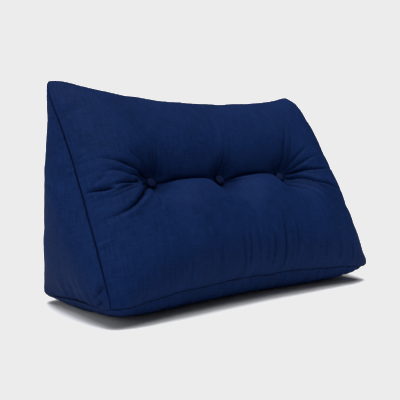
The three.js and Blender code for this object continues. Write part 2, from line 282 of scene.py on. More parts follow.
# Grid lines: distances from a seam, then each stretch's start, stop and step
SEAM_LINES = (0.9, 2.0, 3.6, 6.0)
ACROSS_STRETCHES = (
    (-374.0, -180.0, 2.4), (-180.0, -62.0, 4.9), (-62.0, 122.0, 2.6), (122.0, 168.0, 4.6),
    (168.0, 374.0, 2.8),
)
DOWN_STRETCHES = ((6.0, 190.0, 4.4), (190.0, 360.0, 2.4), (360.0, None, 3.9))
INWARD_STRETCHES = ((6.0, None, 6.2),)

# Cloth settling, worked on every second grid line
CLOTH_PRESSURE = 4.0
CLOTH_SLACK = 0.022
CLOTH_FRAMES = 20
CLOTH_CAP = 4.0
CLOTH_HELD_REACH = 14.0
CLOTH_HELD_AT_FOLD = 9.0
CLOTH_HELD_AT_BUTTON = 6.0
CLOTH_QUALITY = 6

# Sewing: the dip along a seam, its unevenness, the corners, and the rolled sides of the base
SEAM_SINK = 2.6
SEAM_SINK_AT_BASE = 1.6
SEAM_BASE_REACH = 60.0
SEAM_WIDTH = 1.3
# How far the shade painted along each seam's groove reaches
SEAM_PAINTED_SHADE_REACH = 1.7
UNEVEN = 0.4
UNEVEN_REACH = 45.0
UNEVEN_WAVES = 9
TOP_CORNER_BLUNT = {-1: (5.0, 22.0), 1: (8.0, 34.0)}
SIDE_SEAM_OUT = 7.0
SIDE_SEAM_UP = 3.0
SIDE_SEAM_INSET = 12.0
SIDE_SEAM_Z = 20.0
SIDE_SEAM_SPREAD = 30.0
SIDE_SEAM_REACH = 40.0
FLOOR_REACH = 8.0
BASE_ROLL = 9.0
BASE_ROLL_REACH = 18.0
CORNER_SHARPNESS = 1.5
CUSHION_MIDDLE = (0, 0, 170)
TOP_CORNER_LIFT = 3.5
TOP_CORNER_LIFT_X = 338.0
TOP_CORNER_LIFT_SPREAD = 26.0
TOP_SEAM_SPREAD = 60.0
RIGHT_SHOULDER_IN = 11.0
RIGHT_SHOULDER_X = 385.0
RIGHT_SHOULDER_Z = 462.0
RIGHT_SHOULDER_SPREAD = 45.0
BASE_CORNER_SPREAD = 38.0


def vec(*values):
    return np.array(values, float)


def unit(v):
    return v / np.linalg.norm(v)


def rise(distance, reach):
    """Grows from 0 at a seam towards 1, as a filled panel does."""
    return 1 - np.exp(-np.maximum(distance, 0) / reach)


def bell(distance, spread):
    """1 at no distance, and nothing well past the spread."""
    return np.exp(-((distance / spread) ** 2))


def apex_corner(side):
    return vec(side * HALF_WIDTH, APEX_Y, APEX_Z)


def back_corner(side):
    return vec(side * HALF_WIDTH, BACK_Y, BACK_Z)


def front_corner(side):
    return vec(side * HALF_WIDTH, FRONT_Y, FRONT_Z)


SLOPE_LENGTH = np.linalg.norm(apex_corner(1) - front_corner(1))
BACK_LENGTH = np.linalg.norm(apex_corner(1) - back_corner(1))
DEPTH = BACK_Y - FRONT_Y
DOWN_SLOPE = unit(front_corner(1) - apex_corner(1))
DOWN_BACK = unit(back_corner(1) - apex_corner(1))
FRONT_NORMAL = vec(0, DOWN_SLOPE[2], -DOWN_SLOPE[1])
BACK_NORMAL = vec(0, -DOWN_BACK[2], DOWN_BACK[1])


def seam(a, b, bow, pull_a, pull_b, reach):
    """A seam from a to b: straight, bowed, and drawn in near both corners."""
    length = np.linalg.norm(b - a)

    def at(t):
        t = np.asarray(t, float)[..., None]
        near_a = np.maximum(1 - t * length / reach, 0) ** 2
        near_b = np.maximum(1 - (1 - t) * length / reach, 0) ** 2
        return a + (b - a) * t + vec(*bow) * 4 * t * (1 - t) + pull_a * near_a + pull_b * near_b

    return at


def corner_pulls(side):
    """How far each corner of a gusset is drawn in from where its seams would meet."""
    apex, back, front = apex_corner(side), back_corner(side), front_corner(side)
    top_in = vec(-side * TOP_CORNER_IN[side], 0, 0)
    base_in = vec(-side * BASE_CORNER_IN, 0, 0)
    return {
        "apex": TOP_CORNER_PULL * (unit(back - apex) + unit(front - apex)) + top_in,
        "back": BASE_CORNER_PULL * (unit(apex - back) + unit(front - back)) + base_in,
        "front": BASE_CORNER_PULL * (unit(apex - front) + unit(back - front)) + base_in,
    }


PULLS = {side: corner_pulls(side) for side in (-1, 1)}


def gusset_seams(side):
    """The three seams round a gusset; the slope seam bulges out a little below its top."""
    apex, back, front = apex_corner(side), back_corner(side), front_corner(side)
    pulls = PULLS[side]
    slope_bow = FRONT_NORMAL * SLOPE_SEAM_RISE + vec(-side * SLOPE_SEAM_PULL, 0, 0)
    plain = seam(apex, front, slope_bow, pulls["apex"], pulls["front"], CORNER_REACH)

    def slope(t):
        t = np.asarray(t, float)
        points = plain(t)
        points[..., 0] += side * EAR_OUT * (t / EAR_DOWN) * np.exp(1 - t / EAR_DOWN) * (1 - t)
        return points

    back_bow = (-side * BACK_SEAM_PULL, 0, 0)
    base_bow = (-side * SIDE_SEAM_PULL, 0, SIDE_SEAM_LIFT)
    return {
        "slope": slope,
        "back": seam(apex, back, back_bow, pulls["apex"], pulls["back"], CORNER_REACH),
        "base": seam(back, front, base_bow, pulls["back"], pulls["front"], CORNER_REACH),
    }


SEAMS = {side: gusset_seams(side) for side in (-1, 1)}


def long_seam(corner, bow, name):
    return seam(corner(-1), corner(1), bow, PULLS[-1][name], PULLS[1][name], LONG_CORNER_REACH)


TOP_SEAM = long_seam(apex_corner, TOP_SEAM_BOW, "apex")
BASE_FRONT_SEAM = long_seam(front_corner, BASE_FRONT_BOW, "front")
BASE_BACK_SEAM = long_seam(back_corner, BASE_BACK_BOW, "back")


def patch(name, first, second, x, v):
    """Smooth patch between the gussets' seams of a name and two long seams; v runs between those."""
    left, right = SEAMS[-1][name], SEAMS[1][name]
    u = (x + HALF_WIDTH) / (2 * HALF_WIDTH)
    p, q = u[..., None], v[..., None]
    edges = (1 - p) * left(v) + p * right(v) + (1 - q) * first(u) + q * second(u)
    corners = (1 - p) * (1 - q) * first(0.0) + p * (1 - q) * first(1.0)
    corners += (1 - p) * q * second(0.0) + p * q * second(1.0)
    return edges - corners


def fold_arch(x):
    """How far up the slope the fold arches between two buttons, less its drop to the left one."""
    across = np.abs(x - BUTTON_MIDDLE_X)
    arch = np.where(x < BUTTON_MIDDLE_X, FOLD_ARCH_LEFT, FOLD_ARCH_RIGHT)
    leave = rise(across - FOLD_ARCH_CLEAR, FOLD_ARCH_LEAVE)
    arrive = rise(BUTTON_PITCH - FOLD_ARCH_CLEAR - across, FOLD_ARCH_ARRIVE)
    return arch * leave * arrive - LEFT_DROP * bell(x - BUTTONS["left"], LEFT_DROP_REACH)


def folded_height(x, down):
    """Height of the cloth over the front seam plane before the pits are levelled."""
    below = down - FOLD_DOWN
    from_top = rise(down, FRONT_TOP_REACH)
    from_base = rise(SLOPE_LENGTH - down, FRONT_BASE_REACH)
    from_side = rise(HALF_WIDTH - np.abs(x), FRONT_SIDE_REACH)
    single = FRONT_CROWN * from_top * from_base
    upper = UPPER_LOBE_CROWN * from_top * rise(-below, FOLD_REACH_UP)
    drawn = sum(bell(x - bx, DRAWN_LOBE_SPREAD) for bx in BUTTONS.values())
    lower_reach = FOLD_REACH_DOWN + (DRAWN_LOBE_REACH - FOLD_REACH_DOWN) * drawn
    lower = LOWER_LOBE_CROWN * from_base * rise(below, lower_reach)
    tufted = np.where(below < 0, upper, lower) + FOLD_FLOOR * from_top * from_base
    share = bell(np.maximum(np.abs(x - BUTTON_MIDDLE_X) - BUTTON_PITCH, 0), FOLD_FADE)
    pits = sum(bell(np.hypot(x - bx, below), PIT_SPREAD) for bx in BUTTONS.values())
    return from_side * ((1 - share) * single + share * tufted) - PIT_DEPTH * pits


def front_height(x, down):
    """The front's height, with a flat floor under each button and the cloth drawn in round it."""
    below = down - FOLD_DOWN
    height = folded_height(x, down)
    for bx in BUTTONS.values():
        away = np.hypot(x - bx, below)
        level = float(folded_height(vec(bx), vec(FOLD_DOWN))[0])
        turn = np.clip(2 * below / np.maximum(away, 1) + DRAWN_TURN, 0, 1)
        under = turn * turn * (3 - 2 * turn)
        slope = DRAWN_SLOPE_BELOW * under + DRAWN_SLOPE_ABOVE * (1 - under)
        outside = np.maximum(away - PIT_FLOOR_RADIUS, 0)
        cone = level + slope * outside
        rounding = DRAWN_SOFTNESS * np.log1p(np.exp(-np.abs(height - cone) / DRAWN_SOFTNESS))
        height = np.minimum(height, cone) - rounding * bell(away, DRAWN_SPREAD)
        height = height + (level - height) * bell(outside, PIT_BLEND)
    return height


def crease(x, down, depth, width, bank, path):
    """One crease: its sharp trough, the soft banks beside it, and the shade painted along it."""
    nearest = np.full(x.shape, np.inf)
    along, offset = np.zeros(x.shape), np.zeros(x.shape)
    spans = len(path) - 1
    for i in range(spans):
        (ax, ad), (bx, bd) = path[i], path[i + 1]
        dx, dd = bx - ax, bd - ad
        held = np.clip(((x - ax) * dx + (down - ad) * dd) / (dx * dx + dd * dd), 0, 1)
        rx, rd = x - ax - held * dx, down - ad - held * dd
        distance = np.hypot(rx, rd)
        closer = distance < nearest
        nearest = np.where(closer, distance, nearest)
        along = np.where(closer, (i + held) / spans, along)
        offset = np.where(closer, np.where(rd < 0, -1, 1) * distance, offset)
    fade = (1 - along ** CREASE_FADE) * np.minimum(1, CREASE_START + 3 * along)
    narrow = width * (1 - CREASE_NARROWING * along)
    trough = fade * depth * np.exp(-((nearest / narrow) ** CREASE_SHARPNESS))
    below = bell(offset - BANK_BELOW[0] * width, BANK_BELOW[1] * width)
    above = bell(offset + BANK_ABOVE[0] * width, BANK_ABOVE[1] * width)
    # Painted shade along the trough
    dark = fade * bell(nearest, CREASE_PAINTED_SHADE_WIDTH * narrow) * min(depth / CREASE_PAINTED_SHADE_DEPTH, 1)
    return trough, fade * bank * (below + BANK_ABOVE_SHARE * above), dark


def streak(x, down, across, start, stop, depth):
    """One pressed line: its trough, the soft bank beside it, and the shade painted in it."""
    middle, half = (start + stop) / 2, (stop - start) / 2
    line = np.exp(-((np.abs(down - middle) / half) ** 4))
    side = x - across - STREAK_SWAY * np.sin((down - start) / STREAK_SWAY_LENGTH + across)
    trough = line * depth * bell(side, STREAK_WIDTH)
    bank = line * depth * 0.5 * bell(side - STREAK_BANK[0], STREAK_BANK[1])
    return trough, bank, STREAK_PAINTED_SHADE * trough / STREAK_PAINTED_SHADE_DEPTH


def button_pleats(x, down):
    """Short pleats that run out from each button, and the shade painted in them and in the gap round it."""
    trough, dark = np.zeros(x.shape), np.zeros(x.shape)
    for bx in BUTTONS.values():
        rx, rd = x - bx, down - FOLD_DOWN
        away = np.hypot(rx, rd)
        turns = np.linspace(0, 2 * np.pi, PLEATS, endpoint=False)
        for angle in turns + rng.uniform(-PLEAT_TURN, PLEAT_TURN, PLEATS):
            depth, length = rng.uniform(*PLEAT_DEPTHS), rng.uniform(*PLEAT_LENGTHS)
            out = rx * np.cos(angle) + rd * np.sin(angle)
            aside = rd * np.cos(angle) - rx * np.sin(angle)
            reach = np.where(out > 0, np.exp(-np.maximum(out - BUTTON_RADIUS, 0) / length), 0)
            line = depth * reach * bell(aside, PLEAT_WIDTH + PLEAT_WIDENING * np.maximum(out, 0))
            trough += line
            # Painted shade in the pleats near the button
            dark += PLEAT_PAINTED_SHADE * line * bell(away - BUTTON_RADIUS, PLEAT_PAINTED_SHADE_REACH)
        # Painted shade in a ring round the button
        dark += bell(away - BUTTON_RADIUS - BUTTON_RING_PAINTED_SHADE[0], BUTTON_RING_PAINTED_SHADE[1])
    return trough, 0 * trough, dark


def front_folds(x, down):
    """Creases, pressed lines and pleats of the front: their height and the shade painted in them."""
    between = np.abs(x - BUTTON_MIDDLE_X) < BUTTON_PITCH
    # The tuck line between buttons: its trough, and shade painted along it
    tuck = between * bell(down - FOLD_DOWN, TUCK_WIDTH)
    parts = [button_pleats(x, down), (TUCK_DEPTH * tuck, 0, tuck)]
    parts += [crease(x, down, *values) for values in CREASES]
    parts += [streak(x, down, *values) for values in STREAKS]
    trough, bank, dark = (np.zeros(x.shape) for _ in range(3))
    for part_trough, part_bank, part_dark in parts:
        trough = np.maximum(trough, part_trough)
        bank = bank + part_bank
        dark = np.maximum(dark, part_dark)
    from_side = rise(HALF_WIDTH - np.abs(x), FOLDS_CLEAR_OF_SIDE)
    return (bank - trough) * from_side, np.minimum(dark, 1) * from_side


def gathers(along, away, length, spacing, depth, reach, slant=0.0):
    """Small puckers that run from a seam of a length, with random places, widths and reaches."""
    height = np.zeros(along.shape)
    place = GATHERS_START + spacing * rng.uniform(0.2, 1)
    while place < length - GATHERS_STOP:
        width = rng.uniform(*GATHER_WIDTHS)
        lean = slant + rng.uniform(-GATHER_LEAN, GATHER_LEAN)
        line = bell(along - place - lean * away, width) * np.exp(-away / (reach * rng.uniform(0.5, 1.3)))
        height -= depth * rng.uniform(0.25, 1) * line * rise(away, 3)
        place += spacing * rng.uniform(0.5, 1.5)
    return height


def swell(x, y, size, amount):
    """Smooth uneven swelling of a filled panel."""
    height = np.zeros(x.shape)
    for _ in range(SWELL_WAVES):
        angle, phase = rng.uniform(0, 2 * np.pi, 2)
        wave = size * rng.uniform(0.7, 1.6)
        height += np.sin((x * np.cos(angle) + y * np.sin(angle)) * 2 * np.pi / wave + phase)
    return height * amount / 3


def grid_lines(stretches, end):
    """Grid lines of one direction, an even number of steps in each stretch and close at both seams."""
    near = np.array([0, *SEAM_LINES])
    lines = [near - near[-1] + stretches[0][0], end - near]
    for start, stop, step in stretches:
        stop = end - near[-1] if stop is None else stop
        lines.append(np.linspace(start, stop, 2 * round((stop - start) / step / 2) + 1))
    return np.unique(np.round(np.concatenate(lines), 6))


ACROSS = grid_lines(ACROSS_STRETCHES, HALF_WIDTH)
DOWN = grid_lines(DOWN_STRETCHES, SLOPE_LENGTH) / round(SLOPE_LENGTH, 6)
INWARD = grid_lines(INWARD_STRETCHES, DEPTH) / DEPTH


# Waves of the uneven sewing: length, turn and phase
UNEVEN_LENGTHS = rng.uniform(70, 190, UNEVEN_WAVES)
UNEVEN_TURNS = rng.uniform(0, 2 * np.pi, UNEVEN_WAVES)
UNEVEN_PHASES = rng.uniform(0, 2 * np.pi, UNEVEN_WAVES)


def uneven_sewing(points):
    """Slow unevenness of the sewing, the same for every panel that meets at a point."""
    moved = np.zeros(points.shape)
    for length, turn, phase in zip(UNEVEN_LENGTHS, UNEVEN_TURNS, UNEVEN_PHASES):
        wave = vec(1, 0.6 * np.sin(turn), 0.8 * np.cos(turn)) * 2 * np.pi / length
        toward = vec(0.3 * np.sin(2 * turn), np.cos(turn), np.sin(turn))
        moved += UNEVEN * toward * np.sin(points @ wave + phase)[..., None]
    return moved


# How far the sewn base corners sit off their drawn places
BASE_CORNER_SHIFTS = (
    (front_corner(-1), vec(3, 0, -4)),
    (back_corner(-1), vec(-3, 0, 0)),
    (front_corner(1), vec(5, 0, 0)),
)


def blunt_corners(places):
    """Rounds the two top corners and sets the base ones; the right shoulder is drawn in."""
    x, z = places[:, 0], places[:, 2]
    lift = TOP_CORNER_LIFT * bell(x - TOP_CORNER_LIFT_X, TOP_CORNER_LIFT_SPREAD)
    moved = places + np.outer(lift * bell(z - APEX_Z, TOP_SEAM_SPREAD), vec(0, 0, 1))
    for side, (pull, reach) in TOP_CORNER_BLUNT.items():
        corner = apex_corner(side)
        near = np.maximum(1 - np.linalg.norm(places - corner, axis=1) / reach, 0) ** CORNER_SHARPNESS
        moved += np.outer(pull * near, unit(vec(*CUSHION_MIDDLE) - corner))
    shoulder = RIGHT_SHOULDER_IN * bell(x - RIGHT_SHOULDER_X, RIGHT_SHOULDER_SPREAD)
    moved[:, 0] -= shoulder * bell(z - RIGHT_SHOULDER_Z, RIGHT_SHOULDER_SPREAD)
    for corner, shift in BASE_CORNER_SHIFTS:
        away = np.linalg.norm(places - corner, axis=1)
        moved += np.outer(bell(away, BASE_CORNER_SPREAD), shift)
    return moved


def rolled_sides(places):
    """Moves the base seams of the gussets out and up, as the filling presses them over the base."""
    x, y, z = places.T
    inside = np.maximum(HALF_WIDTH - SIDE_SEAM_INSET - np.abs(x), 0)
    along = np.clip((y - FRONT_Y) * (BACK_Y - y) * 4 / DEPTH ** 2, 0, 1)
    share = along * bell(z - SIDE_SEAM_Z, SIDE_SEAM_SPREAD) * bell(inside, SIDE_SEAM_REACH)
    lift = SIDE_SEAM_UP * share * rise(z, FLOOR_REACH)
    return places + np.stack([np.sign(x) * SIDE_SEAM_OUT * share, 0 * x, lift], axis=-1)


class Panel:
    """One cut piece of the cover: its grid of points, its outward direction and its flat layout."""

    def __init__(self, points, outward, flat, reverse, open_inside=False):
        self.points = points
        self.outward = outward
        self.flat = flat
        self.reverse = reverse
        self.open_inside = open_inside
        self.height = np.zeros(points.shape[:2])
        # Painted shade at each grid point, for creases and folds
        self.dark = np.zeros(points.shape[:2])


def front_panel():
    """The sloping front: crowned, tufted, creased, and gathered along its seams."""
    x, v = np.meshgrid(ACROSS, DOWN)
    down = v * SLOPE_LENGTH
    on_seam = (v <= 0) | (v >= 1) | (np.abs(x) >= HALF_WIDTH)
    shift = np.where(on_seam, 0, fold_arch(x) * bell(down - FOLD_DOWN, FOLD_ARCH_SPREAD))
    flat = patch("slope", TOP_SEAM, BASE_FRONT_SEAM, x, v - shift / SLOPE_LENGTH)
    height = np.where(on_seam, 0, front_height(x, down))
    layout = x + CLOTH_START["front"], down
    panel = Panel(flat + FRONT_NORMAL * height[..., None], FRONT_NORMAL, layout, False)
    panel.height, panel.dark = front_folds(x, down)
    from_left, from_right, from_base = x + HALF_WIDTH, HALF_WIDTH - x, SLOPE_LENGTH - down
    panel.height += gathers(down, from_left, SLOPE_LENGTH, *FRONT_LEFT_GATHERS)
    low_left = rise(down - LOW_LEFT_START[0], LOW_LEFT_START[1])
    panel.height += gathers(down, from_left, SLOPE_LENGTH, *FRONT_LOW_LEFT_GATHERS) * low_left
    panel.height += gathers(down, from_right, SLOPE_LENGTH, *FRONT_RIGHT_GATHERS)
    panel.height += gathers(from_left, down, 2 * HALF_WIDTH, *FRONT_TOP_GATHERS)
    panel.height += gathers(from_left, from_base, 2 * HALF_WIDTH, *FRONT_BASE_GATHERS)
    inner = rise(HALF_WIDTH - np.abs(x), SWELL_CLEAR) * rise(down, SWELL_CLEAR)
    panel.height += inner * rise(from_base, SWELL_CLEAR) * swell(x, down, *FRONT_SWELL)
    return panel


def back_panel():
    """The upright back: crowned, and gathered along its seams."""
    x, v = np.meshgrid(ACROSS, DOWN)
    down = v * BACK_LENGTH
    rows = rise(down, BACK_REACH) * rise(BACK_LENGTH - down, BACK_REACH)
    height = BACK_CROWN * rows * rise(HALF_WIDTH - np.abs(x), BACK_REACH)
    flat = patch("back", TOP_SEAM, BASE_BACK_SEAM, x, v)
    layout = x + CLOTH_START["back"], down
    panel = Panel(flat + BACK_NORMAL * height[..., None], BACK_NORMAL, layout, True, True)
    from_left, from_right, from_base = x + HALF_WIDTH, HALF_WIDTH - x, BACK_LENGTH - down
    inner = rise(HALF_WIDTH - np.abs(x), SWELL_CLEAR) * rise(down, SWELL_CLEAR)
    panel.height += inner * rise(from_base, SWELL_CLEAR) * swell(x, down, *BACK_SWELL)
    panel.height += gathers(down, from_left, BACK_LENGTH, *BACK_SIDE_GATHERS)
    panel.height += gathers(down, from_right, BACK_LENGTH, *BACK_SIDE_GATHERS)
    panel.height += gathers(from_left, down, 2 * HALF_WIDTH, *BACK_TOP_GATHERS)
    panel.height += gathers(from_left, from_base, 2 * HALF_WIDTH, *BACK_BASE_GATHERS)
    return panel


def base_panel():
    """The base: crowned until it rests on the floor, with its sides rolled out."""
    x, s = np.meshgrid(ACROSS, INWARD)
    inward = s * DEPTH
    rows = rise(inward, BASE_REACH) * rise(DEPTH - inward, BASE_REACH)
    height = BASE_CROWN * rows * rise(HALF_WIDTH - np.abs(x), BASE_REACH)
    points = patch("base", BASE_BACK_SEAM, BASE_FRONT_SEAM, x, s)
    points[..., 2] = np.maximum(points[..., 2] - height, 0)
    inset = (HALF_WIDTH - np.abs(x)) / BASE_ROLL_REACH
    roll = BASE_ROLL * inset * np.exp(1 - inset) * np.minimum(4 * s * (1 - s), 1)
    points[..., 0] += np.sign(x) * roll
    panel = Panel(points, vec(0, 0, -1), (x + CLOTH_START["base"], inward), True)
    from_left, from_right = x + HALF_WIDTH, HALF_WIDTH - x
    panel.height += gathers(from_left, DEPTH - inward, 2 * HALF_WIDTH, *BASE_FRONT_GATHERS)
    panel.height += gathers(from_left, inward, 2 * HALF_WIDTH, *BASE_BACK_GATHERS)
    panel.height += gathers(inward, from_left, DEPTH, *BASE_SIDE_GATHERS)
    panel.height += gathers(inward, from_right, DEPTH, *BASE_SIDE_GATHERS)
    return panel


def gusset_panel(side):
    """A triangular side, whose grid narrows to a point at the top."""
    s, v = np.meshgrid(INWARD, DOWN)
    seams = SEAMS[side]
    p, q = s[..., None], v[..., None]
    chord = (1 - p) * seams["back"](1.0) + p * seams["slope"](1.0)
    points = (1 - p) * seams["back"](v) + p * seams["slope"](v) + q * (seams["base"](s) - chord)
    width = v * DEPTH
    from_back, from_front = s * width, (1 - s) * width
    from_base = (1 - v) * BACK_LENGTH
    columns = rise(from_back, GUSSET_REACH) * rise(from_front, GUSSET_REACH)
    points[..., 0] += side * GUSSET_CROWN * columns * rise(from_base, GUSSET_BASE_REACH)
    down = v * SLOPE_LENGTH
    layout = CLOTH_START[side] + (s - 0.5) * width, down
    panel = Panel(points, vec(side, 0, 0), layout, side > 0)
    panel.height += gathers(down, from_front, SLOPE_LENGTH, *GUSSET_FRONT_GATHERS)
    panel.height += gathers(down, from_back, SLOPE_LENGTH, *GUSSET_BACK_GATHERS)
    behind = points[..., 1] - FRONT_Y
    panel.height += gathers(behind, from_base, DEPTH, *GUSSET_BASE_GATHERS)
    for depth, half_width, bank, path in GUSSET_CREASES:
        line = [(place, -above) for place, above in path]
        trough, banks, dark = crease(behind, -from_base, depth, half_width, bank, line)
        panel.height += banks - trough
        # Painted shade along each gusset crease
        panel.dark = np.maximum(panel.dark, GUSSET_CREASE_PAINTED_SHADE * dark)
    inner = rise(from_back, SWELL_CLEAR) * rise(from_front, SWELL_CLEAR)
    panel.height += swell(s * width, down, *GUSSET_SWELL) * inner
    panel.height *= np.minimum(width / GUSSET_PLAIN_WIDTH, 1)
    return panel


PANELS = [front_panel(), back_panel(), base_panel(), gusset_panel(-1), gusset_panel(1)]


def same_points(grids):
    """Joins the points that panels share on their seams: places once, and each grid as indices."""
    stacked = np.concatenate([grid.reshape(-1, 3) for grid in grids])
    rounded = np.round(stacked, 2)
    _, first, joined = np.unique(rounded, axis=0, return_index=True, return_inverse=True)
    ends = np.cumsum([grid.shape[0] * grid.shape[1] for grid in grids])
    parts = np.split(joined.reshape(-1), ends[:-1])
    return stacked[first], [part.reshape(grid.shape[:2]) for part, grid in zip(parts, grids)]


def grid_quads(cells):
    """Faces of four between neighbouring points of a grid."""
    ring = [cells[:-1, :-1], cells[1:, :-1], cells[1:, 1:], cells[:-1, 1:]]
    return np.stack(ring, axis=-1).reshape(-1, 4).tolist()


def open_faces(cells):
    """Faces of a grid that keeps every line on its rim and every second line inside."""
    faces = grid_quads(cells[2:-2:2, 2:-2:2])
    for turned in range(4):
        rim = np.rot90(cells, turned)
        edge, row = rim[0].tolist(), rim[2, 2:-2:2].tolist()
        faces += [[edge[0], row[0], edge[1]], [edge[1], row[0], edge[2]]]
        for k in range(len(row) - 1):
            a = 2 * k + 2
            faces += [
                [edge[a], row[k], edge[a + 1]], [edge[a + 1], row[k], row[k + 1]],
                [edge[a + 1], row[k + 1], edge[a + 2]],
            ]
        faces += [[edge[-3], row[-1], edge[-2]], [edge[-2], row[-1], edge[-1]]]
    return faces


def joined_faces(panel, faces, names):
    """Faces as a panel's own indices, turned outward, without corners that fall on one point."""
    for face in faces:
        face = face[::-1] if panel.reverse else face
        kept = [face[k] for k in range(len(face)) if names[face[k]] != names[face[k - 1]]]
        if len(kept) > 2:
            yield kept


def settled_cloth(grids):
    """How far the cover moves when its filling presses on a slightly slack cloth."""
    places, cells = same_points([grid[::2, ::2] for grid in grids])
    faces = []
    for panel, cell in zip(PANELS, cells):
        own = np.arange(cell.size).reshape(cell.shape)
        names = cell.ravel().tolist()
        faces += [[names[k] for k in face] for face in joined_faces(panel, grid_quads(own), names)]
    mesh = bpy.data.meshes.new("settling_cloth")
    mesh.from_pydata((places * MM).tolist(), [], faces)
    cloth = bpy.data.objects.new("settling_cloth", mesh)
    bpy.context.scene.collection.objects.link(cloth)
    x, down = np.meshgrid(ACROSS[::2], DOWN[::2] * SLOPE_LENGTH)
    near_fold = np.abs(down - FOLD_DOWN) < CLOTH_HELD_AT_FOLD
    fold = near_fold & (np.abs(x - BUTTON_MIDDLE_X) < BUTTON_PITCH)
    for bx in BUTTONS.values():
        fold |= np.hypot(x - bx, down - FOLD_DOWN) < PIT_FLOOR_RADIUS + CLOTH_HELD_AT_BUTTON
    held = [cells[0][fold], np.flatnonzero(places[:, 2] < 0.5)]
    held += [cell[:, edge] for cell in cells for edge in (0, -1)]
    held += [cell[edge] for cell in cells for edge in (0, -1)]
    group = cloth.vertex_groups.new(name="held")
    group.add(np.unique(np.concatenate(held)).tolist(), 1.0, "REPLACE")
    settings = cloth.modifiers.new("cloth", "CLOTH").settings
    settings.vertex_group_mass = group.name
    settings.use_pressure = True
    settings.uniform_pressure_force = CLOTH_PRESSURE
    settings.shrink_min = settings.shrink_max = -CLOTH_SLACK
    settings.effector_weights.gravity = 0
    settings.quality = CLOTH_QUALITY
    scene = bpy.context.scene
    for step in range(1, CLOTH_FRAMES + 1):
        scene.frame_set(step)
    shaped = cloth.evaluated_get(bpy.context.evaluated_depsgraph_get())
    moved = np.empty(len(places) * 3)
    shaped.data.vertices.foreach_get("co", moved)
    moved = moved.reshape(-1, 3) / MM - places
    scene.frame_set(1)
    bpy.data.objects.remove(cloth)
    bpy.data.meshes.remove(mesh)
    size = np.linalg.norm(moved, axis=1, keepdims=True)
    moved *= CLOTH_CAP * np.tanh(size / CLOTH_CAP) / np.maximum(size, 1e-6)
    return [evened(moved[cell]) for cell in cells]


def evened(moves):
    """Settling without its finest ripples; the edges stay as they are."""
    moves = moves.copy()
    for _ in range(2):
        moves[1:-1] = (moves[:-2] + 2 * moves[1:-1] + moves[2:]) / 4
        moves[:, 1:-1] = (moves[:, :-2] + 2 * moves[:, 1:-1] + moves[:, 2:]) / 4
    return moves


def refined(coarse, shape):
    """Values on every second grid line, carried over to the full grid."""
    rows, columns = np.arange(shape[0]) / 2, np.arange(shape[1]) / 2
    r, c = np.floor(rows).astype(int), np.floor(columns).astype(int)
    r1, c1 = np.ceil(rows).astype(int), np.ceil(columns).astype(int)
    across, down = (columns - c)[None, :, None], (rows - r)[:, None, None]
    upper = coarse[r][:, c] * (1 - across) + coarse[r][:, c1] * across
    lower = coarse[r1][:, c] * (1 - across) + coarse[r1][:, c1] * across
    return upper * (1 - down) + lower * down


def grid_normals(points, outward):
    """Unit normals of a grid, turned to its outward side."""
    normals = np.cross(np.gradient(points, axis=1), np.gradient(points, axis=0))
    normals /= np.maximum(np.linalg.norm(normals, axis=-1, keepdims=True), 1e-9)
    return normals * np.where((normals * outward).sum(axis=-1, keepdims=True) < 0, -1, 1)


def from_edges(points):
    """Distance of each grid point from the nearest seam round its panel."""
    down = np.linalg.norm(np.diff(points, axis=0, prepend=points[:1]), axis=-1).cumsum(axis=0)
    across = np.linalg.norm(np.diff(points, axis=1, prepend=points[:, :1]), axis=-1).cumsum(axis=1)
    return np.minimum.reduce([down, down[-1:] - down, across, across[:, -1:] - across])


def sewn_in(points):
    """How far the sewing sinks a seam: less round the base, where the cloth is pressed flat."""
    return SEAM_SINK + (SEAM_SINK_AT_BASE - SEAM_SINK) * bell(points[..., 2], SEAM_BASE_REACH)


def cover_shape():
    """Places and painted shade of the joined points, and each panel's indices into them."""
    start = [panel.points for panel in PANELS]
    settled = start
    moves = settled_cloth(start)
    free = [rise(from_edges(points), CLOTH_HELD_REACH)[..., None] for points in start]
    settled = [
        points + share * refined(moved, points.shape)
        for points, share, moved in zip(start, free, moves)
    ]
    _, cells = same_points(start)
    count = max(cell.max() for cell in cells) + 1
    places, lean, dark = np.zeros((count, 3)), np.zeros((count, 3)), np.zeros(count)
    for panel, cell, before, points in zip(PANELS, cells, start, settled):
        normals = grid_normals(points, panel.outward)
        away = from_edges(before)
        rim = np.ones(cell.shape, bool)
        rim[1:-1, 1:-1] = False
        raised = np.where(rim, 0, panel.height - sewn_in(before) * bell(away, SEAM_WIDTH))
        uneven = bell(away, UNEVEN_REACH)[..., None] * uneven_sewing(before)
        places[cell] = points + normals * raised[..., None] + uneven
        np.add.at(lean, cell[rim], normals[rim])
        # Painted shade in the creases and along each seam's groove
        dark[cell] = np.maximum(panel.dark, bell(away, SEAM_PAINTED_SHADE_REACH))
    lean /= np.maximum(np.linalg.norm(lean, axis=1, keepdims=True), 1e-9)
    places -= sewn_in(places)[:, None] * lean
    places = rolled_sides(blunt_corners(places))
    places[:, 2] = np.maximum(places[:, 2], 0)
    return places - vec(0, CENTRE_Y, 0), dark, cells


